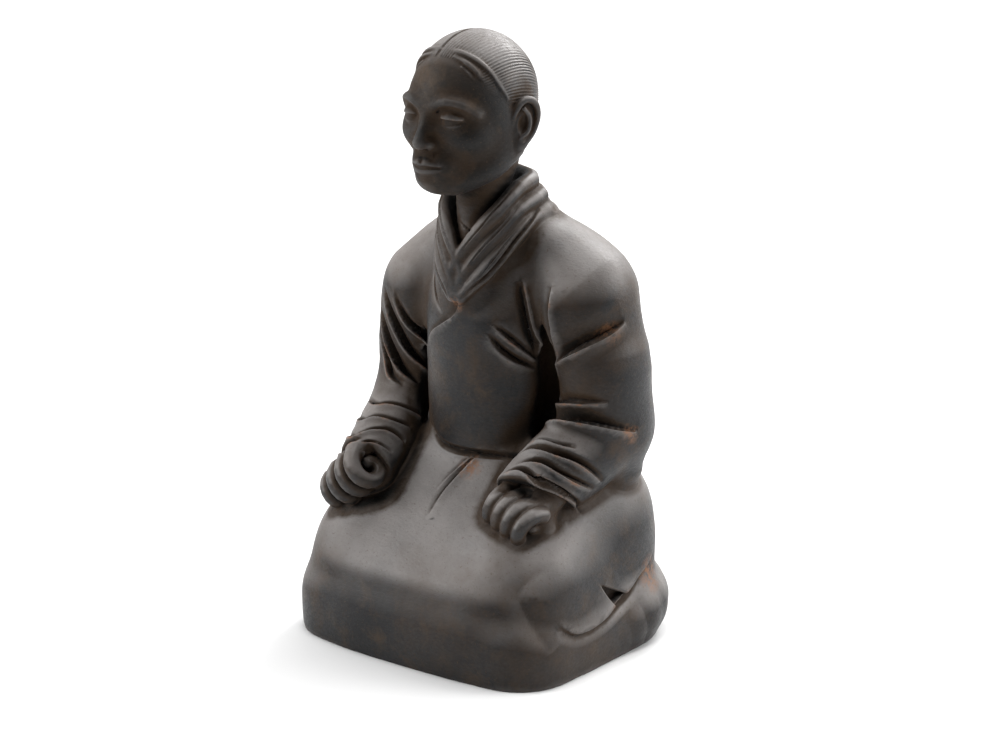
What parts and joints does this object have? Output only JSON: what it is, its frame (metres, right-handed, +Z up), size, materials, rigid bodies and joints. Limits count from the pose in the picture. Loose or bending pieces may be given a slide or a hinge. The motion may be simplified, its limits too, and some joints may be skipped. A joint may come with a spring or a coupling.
{
  "type": "wooden statue",
  "caption": "Carved dark wood figure of a kneeling sitter in a wrapped jacket, with closed hands on the thighs, standing on its flat underside.",
  "frame": {"origin": "middle of the flat underside, under the centre of the bounding box", "axes": "+Z up through the head, -Y the way the figure faces, +X towards the figure's left hand"},
  "size_m": [0.1624, 0.1474, 0.2988],
  "materials": {
    "dark_wood": "hand-polished blackened hardwood with brown worn edges"
  },
  "bodies": {
    "root": {"kneeling_figure": "dark_wood"}
  },
  "joints": []
}
